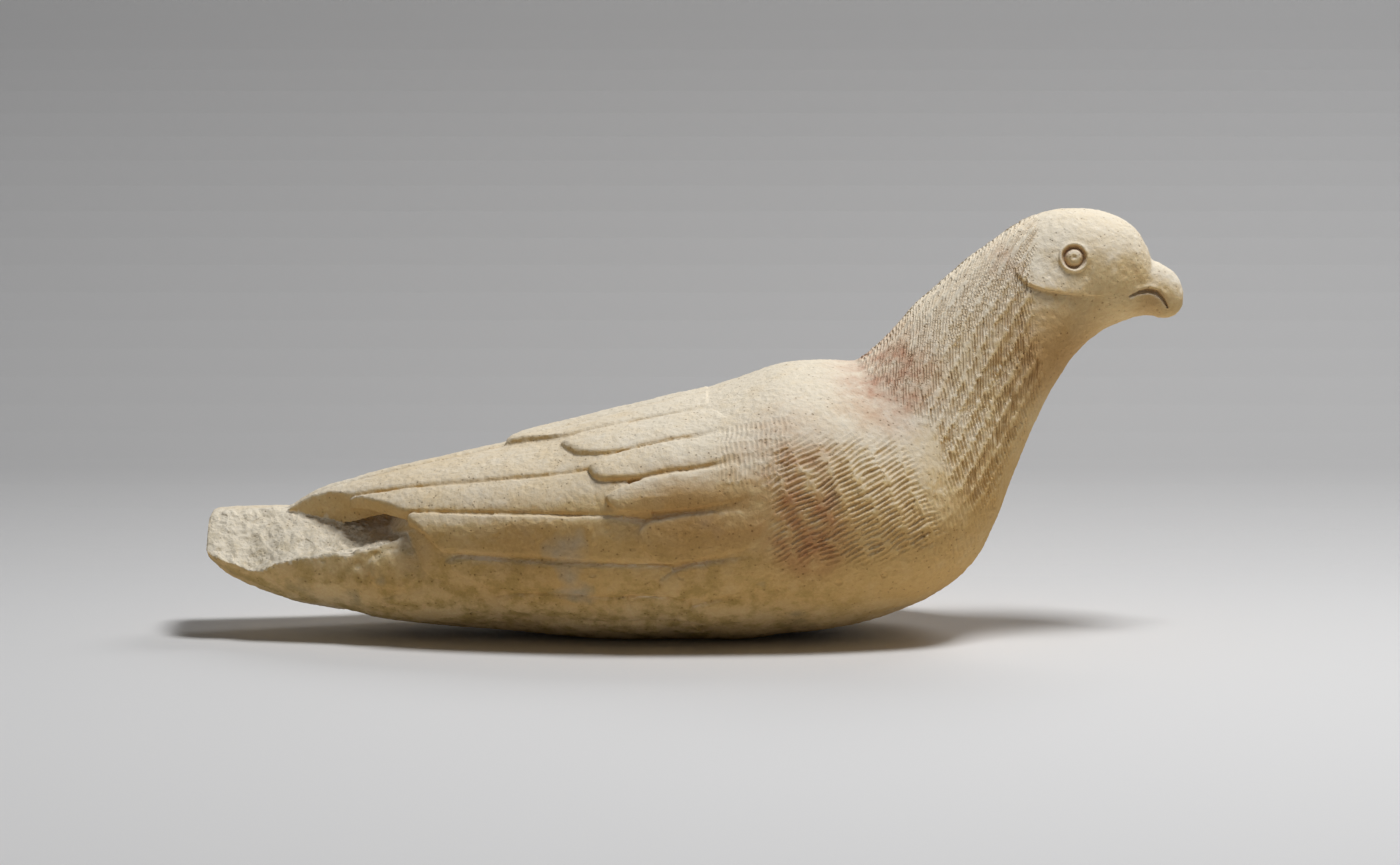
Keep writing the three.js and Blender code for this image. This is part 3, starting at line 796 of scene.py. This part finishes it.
@dataclass
class ChiselWork:
    """The chisel cuts on the neck and the nape, the breast, the feather roots and the shoulders."""

    skin: Skin = BODY_SKIN
    neck: Chisel = Chisel(pitch=1.72, length=5.0, depth=1.0, seed=50)
    shoulder: Chisel = Chisel(pitch=1.75, length=7.5, depth=0.9, seed=60)
    roots: Chisel = Chisel(pitch=1.7, length=4.5, depth=0.4, seed=70)
    breast: Chisel = Chisel(pitch=1.9, length=4.2, depth=0.3, seed=80)
    shoulder_rise: float = 24
    neck_start: tuple[tuple[float, float], ...] = (
        (0, 13.9), (27, 14.3), (41, 14.9), (71, 15.9), (88, 15.3), (110, 15.5), (180, 16),
    )
    neck_end: tuple[tuple[float, float], ...] = ((0, 22.6), (38, 22.4), (64, 21.4), (92, 20.2), (180, 19))

    def carve(self, stone: Stone) -> None:
        """Cuts all fields of strokes, each where its mask lets it."""
        t, angle = self.skin.locate(stone.points)
        degrees = np.degrees(angle)
        along, around = self.skin.measure(t, angle)
        bend = 1.1 * Chance.noise(stone.points, 14, 51, 2)
        along = along + bend
        around = around - np.interp(t, self.skin.fine, self.skin.around[:, 11]) + 0.8 * bend
        depth = self.neck_mask(t, degrees) * self.neck.cuts(along + 0.14 * around, around)
        depth += self.breast_mask(t, degrees) * self.breast.cuts(along, around + 2)
        depth += self.roots_mask(stone.points, t, degrees) * self.roots.cuts(along, around + 3)
        x, y, z = stone.points.T
        rise = math.radians(self.shoulder_rise)
        wave = 0.7 * Chance.noise(stone.points, 7, 61)
        forward = x * math.cos(rise) + z * math.sin(rise)
        upward = z * math.cos(rise) - x * math.sin(rise) + wave
        depth += self.shoulder_mask(t, degrees) * self.shoulder.cuts(upward, forward + 2 * bend)
        stone.marks["cut"] = depth
        stone.push(-depth + 0.35 * self.neck.depth * self.neck_mask(t, degrees))

    def neck_mask(self, t: Array, degrees: Array) -> Array:
        """Where the neck's cuts are, fading towards the throat."""
        start = np.interp(degrees, *np.array(self.neck_start).T)
        end = np.interp(degrees, *np.array(self.neck_end).T)
        throat = ramp(degrees, 152, 118)
        return ramp(t - start, -0.1, 0.5) * ramp(t - end, 0.3, -0.3) * throat

    def breast_mask(self, t: Array, degrees: Array) -> Array:
        """Where the breast's fainter cuts are."""
        return hump(t, 14.3, 15.3, 0.7) * hump(degrees, 88, 134, 14)

    def shoulder_mask(self, t: Array, degrees: Array) -> Array:
        """Where the shoulder's cuts are."""
        return hump(t, 11.2, 14.2, 0.8) * hump(degrees, 68, 104, 12)

    def roots_mask(self, points: Array, t: Array, degrees: Array) -> Array:
        """Where short cuts run out of the feather roots."""
        return hump(t, 9.7, 10.9, 0.5) * hump(degrees, 52, 76, 10)


@dataclass
class Wear:
    """What handling, falls and the ground did to the stone."""

    skin: Skin = BODY_SKIN

    def carve(self, stone: Stone) -> None:
        """Makes the surface a little uneven, and chips the lower side."""
        x, y, z = stone.points.T
        uneven = 0.3 * Chance.noise(stone.points, 16, 90, 2)
        down = ramp(-stone.normals[:, 2], -0.2, 0.5)
        rear = ramp(x, 10, -20) * ramp(z, 24, 12)
        distance, number = Chance.spots(stone.points + 3 * Chance.noise(stone.points, 9, 91)[:, None], 17, 92)
        flake = (number > 0.55) * ramp(distance, 6.5, 5.2) * down * rear
        distance, number = Chance.spots(stone.points, 7, 93)
        chip = (number > 0.7) * ramp(distance, 1.9, 1.1) * ramp(z, 60, 20)
        grit = 0.16 * Chance.noise(stone.points, 1.9, 94, 2)
        stone.push(uneven + grit - 0.7 * flake - 0.4 * chip)
        stone.marks["flake"] = np.maximum(flake, 0.6 * chip)


def linear(red: int, green: int, blue: int) -> tuple[float, float, float, float]:
    """A colour from display values of 0 to 255."""
    values = [c / 255 for c in (red, green, blue)]
    return (*(c / 12.92 if c < 0.04 else ((c + 0.055) / 1.055) ** 2.4 for c in values), 1.0)


class Signal:
    """A shader socket that can be added, multiplied and compared as a number."""

    def __init__(self, tree: bpy.types.NodeTree, socket: bpy.types.NodeSocket) -> None:
        """Wraps a socket of a tree."""
        self.tree = tree
        self.socket = socket

    def combine(self, operation: str, first: "Signal | float", second: "Signal | float") -> "Signal":
        """Adds a Math node.

        Args:
            operation: the node's operation.
            first: its first value.
            second: its second value.

        Returns:
            Its result.
        """
        node = self.tree.nodes.new("ShaderNodeMath")
        node.operation = operation
        for slot, value in enumerate((first, second)):
            if isinstance(value, Signal):
                self.tree.links.new(value.socket, node.inputs[slot])
            else:
                node.inputs[slot].default_value = value
        return Signal(self.tree, node.outputs[0])

    def __add__(self, other: "Signal | float") -> "Signal":
        """self + other."""
        return self.combine("ADD", self, other)

    __radd__ = __add__

    def __sub__(self, other: "Signal | float") -> "Signal":
        """self - other."""
        return self.combine("SUBTRACT", self, other)

    def __rsub__(self, other: float) -> "Signal":
        """other - self."""
        return self.combine("SUBTRACT", other, self)

    def __mul__(self, other: "Signal | float") -> "Signal":
        """self * other."""
        return self.combine("MULTIPLY", self, other)

    __rmul__ = __mul__

    def at_least(self, floor: float) -> "Signal":
        """The larger of self and floor."""
        return self.combine("MAXIMUM", self, floor)

    def at_most(self, ceiling: float) -> "Signal":
        """The smaller of self and ceiling."""
        return self.combine("MINIMUM", self, ceiling)

    def rising(self, low: float, high: float) -> "Signal":
        """Goes from 0 at low to 1 at high, and stays there."""
        return ((self - low) * (1 / (high - low))).at_least(0).at_most(1)


class Shader:
    """A new material and the nodes in it."""

    COLOUR_INPUTS = (0, 6, 7)
    COLOUR_OUTPUT = 2

    def __init__(self, name: str) -> None:
        """Starts an empty material.

        Args:
            name: the material's name.
        """
        self.material = bpy.data.materials.new(name)
        self.material.use_nodes = True
        self.tree = self.material.node_tree
        self.tree.nodes.clear()
        self.place = self.node("ShaderNodeTexCoord").outputs["Object"]

    def node(self, kind: str, settings: dict | None = None, inputs: dict | None = None) -> bpy.types.Node:
        """Adds a node.

        Args:
            kind: its type.
            settings: its own properties, which are set first.
            inputs: values, sockets or signals for its input sockets, by name or number.

        Returns:
            The node.
        """
        node = self.tree.nodes.new(kind)
        for name, value in (settings or {}).items():
            setattr(node, name, value)
        for name, value in (inputs or {}).items():
            source = value.socket if isinstance(value, Signal) else value
            if isinstance(source, bpy.types.NodeSocket):
                self.tree.links.new(source, node.inputs[name])
            else:
                node.inputs[name].default_value = source
        return node

    def mark(self, name: str) -> Signal:
        """The number that the carving left on the stone under a name."""
        node = self.node("ShaderNodeAttribute", {"attribute_name": name})
        return Signal(self.tree, node.outputs["Fac"])

    def noise(self, size: float, detail: float = 3.0, rough: float = 0.55, warp: float = 0.0) -> Signal:
        """Noise over the stone.

        Args:
            size: the width of its spots in millimetres.
            detail: how many finer layers it has.
            rough: how strong those are.
            warp: how far it is distorted.

        Returns:
            A signal from 0 to 1.
        """
        inputs = {
            "Vector": self.place, "Scale": 1 / (size * MM), "Detail": detail, "Roughness": rough,
            "Distortion": warp,
        }
        return Signal(self.tree, self.node("ShaderNodeTexNoise", {}, inputs).outputs[0])

    def cells(self, size: float) -> Signal:
        """The distance to the nearest of many scattered spots, in cells of a size in millimetres."""
        inputs = {"Vector": self.place, "Scale": 1 / (size * MM)}
        return Signal(self.tree, self.node("ShaderNodeTexVoronoi", {}, inputs).outputs["Distance"])

    def blend(self, share: "Signal | float", under: object, over: object, mode: str = "MIX") -> object:
        """Lays one colour over another.

        Args:
            share: how much of it.
            under: a colour or a colour socket.
            over: a colour or a colour socket.
            mode: the blend type.

        Returns:
            The colour socket.
        """
        settings = {"data_type": "RGBA", "blend_type": mode}
        node = self.node("ShaderNodeMix", settings, dict(zip(self.COLOUR_INPUTS, (share, under, over))))
        return node.outputs[self.COLOUR_OUTPUT]

    def finish(self, inputs: dict) -> bpy.types.Material:
        """Ends the material in a Principled shader with these inputs."""
        surface = self.node("ShaderNodeBsdfPrincipled", {}, inputs)
        self.node("ShaderNodeOutputMaterial", {}, {"Surface": surface.outputs[0]})
        return self.material


@dataclass(frozen=True)
class Limestone:
    """The finish of the carved stone: pale on top and ochre on the sides and below, partly weathered patina
    and partly painted shade, with stains below.
    """

    pale: tuple = linear(240, 228, 206)
    warm: tuple = linear(230, 202, 154)
    ochre: tuple = linear(208, 168, 106)
    # The colour of the painted shade patches.
    painted_shade: tuple = linear(176, 132, 74)
    # The colour of dirt and painted shade in the cuts, grooves and pits.
    dirt_and_shade: tuple = linear(120, 84, 44)
    fresh: tuple = linear(242, 232, 212)
    red: tuple = linear(176, 104, 76)
    lichen: tuple = linear(150, 128, 62)
    grey: tuple = linear(176, 172, 160)

    def make(self) -> bpy.types.Material:
        """Builds the material.

        Returns:
            The material, which reads the marks that the carving left.
        """
        shader = Shader("limestone")
        lower, cut, fresh = (shader.mark(name) for name in ("lower", "cut", "fresh"))
        pigment, stain, hollow = (shader.mark(name) for name in ("pigment", "stain", "hollow"))
        cloud, patch, fine = shader.noise(28, 3), shader.noise(7, 4, 0.6), shader.noise(1.1, 3, 0.65)
        # Painted shade with patina: the lower mark plus random mottling turns the colour from pale to warm to
        # ochre.
        shade = (lower + (cloud - 0.5) * 0.5 + (patch - 0.5) * 0.35).at_least(0).at_most(1)
        colour = shader.blend(shade.rising(0, 0.55), self.pale, self.warm)
        colour = shader.blend(shade.rising(0.45, 1), colour, self.ochre)
        # Painted shade in patches on the side faces: throat, coverts, quills, mouth and the wing's hollow.
        colour = shader.blend(shader.mark("painted_shade") * 0.75, colour, self.painted_shade)
        colour = shader.blend(fresh * 0.8, colour, self.fresh)
        colour = shader.blend(stain * patch.rising(0.45, 0.62), colour, self.lichen)
        colour = shader.blend(cloud.rising(0.62, 0.75) * lower * 0.5, colour, self.grey)
        colour = shader.blend(pigment * patch.rising(0.3, 0.7) * 0.7, colour, self.red)
        # Dirt and painted shade in the chisel cuts and in the mouth and eye grooves.
        colour = shader.blend((cut * 0.4 + hollow * 0.6).at_most(0.75), colour, self.dirt_and_shade)
        # Dark pits, with dirt and painted shade in them.
        pits = shader.cells(2.1).rising(0.2, 0.12) * patch.rising(0.4, 0.6)
        colour = shader.blend(pits * 0.5, colour, self.dirt_and_shade)
        grain = fine.rising(0.25, 0.75)
        colour = shader.blend(0.16, colour, shader.blend(grain, (0.3, 0.26, 0.2, 1), (1, 1, 1, 1)), "OVERLAY")
        pecks = shader.noise(1.7, 2, 0.5)
        relief = fine * 0.5 + shader.noise(0.5, 2, 0.6) * 0.25 + pecks * 0.8 - pits * 0.6
        bump = shader.node(
            "ShaderNodeBump", {}, {"Strength": 0.75, "Distance": 0.5 * MM, "Height": relief},
        )
        return shader.finish({
            "Base Color": colour,
            "Roughness": 0.82 + fine * 0.12,
            "Specular IOR Level": 0.3,
            "Normal": bump.outputs["Normal"],
        })


class PaintedShadePatch(Enum):
    """Where the stone is painted darker as shade, in side view, as x, z, radius and strength."""

    THROAT = (124, 100, 30, 1.0)
    COVERTS = (-4, 52, 34, 0.9)
    QUILL = (-60, 38, 34, 0.45)
    MOUTH = (158, 117, 9, 0.7)
    WING_HOLLOW = (-96, 34, 14, 0.5)


class Spot(Enum):
    """Where the old red paint is left, in side view, as x, z, radius and strength."""

    NAPE = (66, 92, 26, 1.3)
    CROWN = (107, 131, 9, 0.5)
    SHOULDER = (38, 42, 22, 1.3)
    SHOULDER_TOP = (32, 66, 26, 0.7)
    COVERT = (14, 46, 18, 0.25)


@dataclass
class Dove:
    """The whole carving: it fuses the blank, carves it, and dresses it."""

    name: str = "limestone_dove"
    voxel: float = 0.45
    triangles: int = 196000
    body: Body = field(default_factory=Body)
    tail: Tail = field(default_factory=Tail)
    rows: tuple[FeatherRow, ...] = (QUILLS, COVERTS, TAIL_FEATHERS)
    head: Head = field(default_factory=Head)
    chisel_work: ChiselWork = field(default_factory=ChiselWork)
    wear: Wear = field(default_factory=Wear)
    finish: Limestone = Limestone()

    def build(self) -> bpy.types.Object:
        """Makes the finished piece.

        Returns:
            The object, in metres, with its material.
        """
        blank = Blank()
        self.body.add_to(blank)
        self.tail.add_to(blank)
        for row in self.rows:
            for side in (1, -1):
                row.add_to(blank, side)
        piece = blank.fuse(self.name, self.voxel)
        log.info("fused the blank: %d faces", len(piece.data.polygons))
        self.refine(piece)
        stone = Stone(piece)
        self.tail.carve(stone)
        self.wear.carve(stone)
        self.head.carve(stone)
        self.chisel_work.carve(stone)
        self.level(stone)
        stone.mark("fresh", stone.marks["fresh"])
        stone.mark("cut", stone.marks["cut"] / self.chisel_work.neck.depth)
        self.stain(stone)
        self.thin(piece)
        piece.data.transform(((MM, 0, 0, 0), (0, MM, 0, 0), (0, 0, MM, 0), (0, 0, 0, 1)))
        piece.data.materials.append(self.finish.make())
        return piece

    def refine(self, piece: bpy.types.Object) -> None:
        """Gives the stone finer faces round the eyes and the mouth."""
        shape = bmesh.new()
        shape.from_mesh(piece.data)
        edges = [
            edge for edge in shape.edges
            if any(math.dist((edge.verts[0].co.x, edge.verts[0].co.z), (x, z)) < reach
                   for x, z, reach in self.head.zones())
        ]
        bmesh.ops.subdivide_edges(shape, edges=edges, cuts=1, use_grid_fill=True)
        shape.to_mesh(piece.data)
        shape.free()

    def level(self, stone: Stone) -> None:
        """Keeps the stone on the ground and inside the solid's box."""
        low, high = (np.array(corner) / MM for corner in cad_box)
        stone.points = np.clip(stone.points, low, high)
        stone.write()

    def stain(self, stone: Stone) -> None:
        """Marks where the stone gets painted shade with patina, painted shade patches, stains, old paint, and
        dirt with painted shade in its hollows.
        """
        x, y, z = stone.points.T
        up = stone.normals[:, 2]
        # The lower mark is partly weathered patina and partly painted shade: darker on side and downward
        # faces and lower down, lighter again near the ground and towards the tail.
        lower = ramp(up, 0.6, -0.25) * 0.75 + ramp(z, 90, 40) * 0.3 - 0.25 * ramp(x, -100, -130)
        stone.mark("lower", lower - 0.4 * ramp(z, 24, 6))
        # Painted shade: darker patches on the side faces.
        side = ramp(up, 0.75, 0.35)
        stone.mark("painted_shade", side * self.gather(x, z, PaintedShadePatch))
        # The mouth and eye grooves, which the finish darkens with dirt and painted shade.
        stone.mark("hollow", np.maximum(stone.marks["mouth"], stone.marks["eye"]) * 0.8)
        stone.mark("pigment", self.gather(x, z, Spot) + 0.8 * stone.marks["eye"])
        stone.mark("stain", ramp(z, 50, 12) * ramp(x, 80, 20) * 0.6)

    def gather(self, x: Array, z: Array, places: type[Enum]) -> Array:
        """Adds up soft round patches in side view.

        Args:
            x: the points' x.
            z: their height.
            places: the patches, as x, z, radius and strength.

        Returns:
            The strength at each point.
        """
        total = np.zeros(len(x))
        for place in places:
            middle_x, middle_z, radius, strength = place.value
            total += strength * ramp(np.hypot(x - middle_x, z - middle_z), radius, 0)
        return total

    def thin(self, piece: bpy.types.Object) -> None:
        """Takes away faces where the stone is flat, down to the piece's budget."""
        piece.modifiers.new("triangles", "TRIANGULATE")
        apply_modifiers(piece)
        count = len(piece.data.polygons)
        decimate = piece.modifiers.new("thin", "DECIMATE")
        decimate.ratio = self.triangles / count
        apply_modifiers(piece)
        log.info("thinned %d triangles to %d", count, len(piece.data.polygons))


@dataclass
class Studio:
    """A pale sweep, soft lights and the camera."""

    aim: tuple[float, float, float] = (0.0017, 0, 0.0705)
    distance: float = 1.7
    elevation: float = 6.8
    lens: float = 125
    sensor: float = 36

    def build(self) -> None:
        """Builds the whole studio."""
        self.add_sweep()
        self.add_camera()
        self.add_light("key", (0.34, -0.2, 1.3), 0.34, 13.5)
        self.add_light("rim", (0.8, 1.2, 1.3), 0.8, 9)
        world = bpy.data.worlds.new("studio")
        world.use_nodes = True
        world.node_tree.nodes["Background"].inputs[0].default_value = (1, 1, 1, 1)
        world.node_tree.nodes["Background"].inputs[1].default_value = 0.05
        bpy.context.scene.world = world
        bpy.context.scene.view_settings.view_transform = "Standard"

    def add_sweep(self) -> None:
        """Adds a floor that curves up into the background."""
        shape = bmesh.new()
        bmesh.ops.create_grid(shape, x_segments=2, y_segments=120, size=0.5)
        start, radius, rise, front, side = 0.12, 0.2, 0.1, -2.4, 4.5
        curve = radius * math.pi / 2
        for vert in shape.verts:
            share = vert.co.y + 0.5
            reach = front + (start + curve + rise - front) * (1 - (1 - share) ** 3)
            turn = min(max((reach - start) / radius, 0), math.pi / 2)
            y = min(reach, start) + radius * math.sin(turn)
            z = radius * (1 - math.cos(turn)) + max(0.0, reach - start - curve)
            vert.co = (vert.co.x * side * 2, y, z)
        mesh = bpy.data.meshes.new("sweep")
        shape.to_mesh(mesh)
        shape.free()
        sweep = bpy.data.objects.new("sweep", mesh)
        bpy.context.scene.collection.objects.link(sweep)
        shader = Shader("backdrop_paper")
        height = shader.node("ShaderNodeSeparateXYZ", {}, {"Vector": shader.place}).outputs["Z"]
        # Painted shade: the sweep's rise is painted darker than the floor, which gets more light.
        share = Signal(shader.tree, height).rising(0, 0.03)
        colour = shader.blend(share, (0.74, 0.74, 0.745, 1), (0.53, 0.53, 0.535, 1))
        mesh.materials.append(shader.finish({"Base Color": colour, "Roughness": 0.9}))

    def add_camera(self) -> None:
        """Adds the camera at the photograph's angle."""
        camera = bpy.data.objects.new("camera", bpy.data.cameras.new("camera"))
        camera.data.lens = self.lens
        camera.data.sensor_width = self.sensor
        rise = math.radians(self.elevation)
        camera.location = Vector(self.aim) + self.distance * Vector((0, -math.cos(rise), math.sin(rise)))
        camera.rotation_euler = (math.radians(90) - rise, 0, 0)
        bpy.context.scene.collection.objects.link(camera)
        bpy.context.scene.camera = camera

    def add_light(self, name: str, place: tuple[float, float, float], size: float, power: float) -> None:
        """Adds a square soft light that faces the bird.

        Args:
            name: its name.
            place: where it is, in metres.
            size: its side.
            power: its power in watts.
        """
        lamp = bpy.data.lights.new(name, "AREA")
        lamp.size = size
        lamp.energy = power
        light = bpy.data.objects.new(name, lamp)
        light.location = place
        light.rotation_euler = (Vector(self.aim) - Vector(place)).to_track_quat("-Z", "Y").to_euler()
        bpy.context.scene.collection.objects.link(light)


def main() -> None:
    """Builds the dove and its studio."""
    logging.basicConfig(level=logging.INFO, format="%(relativeCreated)d ms %(message)s")
    dove = Dove()
    piece = dove.build()
    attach(piece, "root")
    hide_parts(NODE)
    log.info("%s: %d triangles", piece.name, len(piece.data.polygons))
    Studio().build()
    log.info("studio built")


if __name__ == "__main__":
    main()
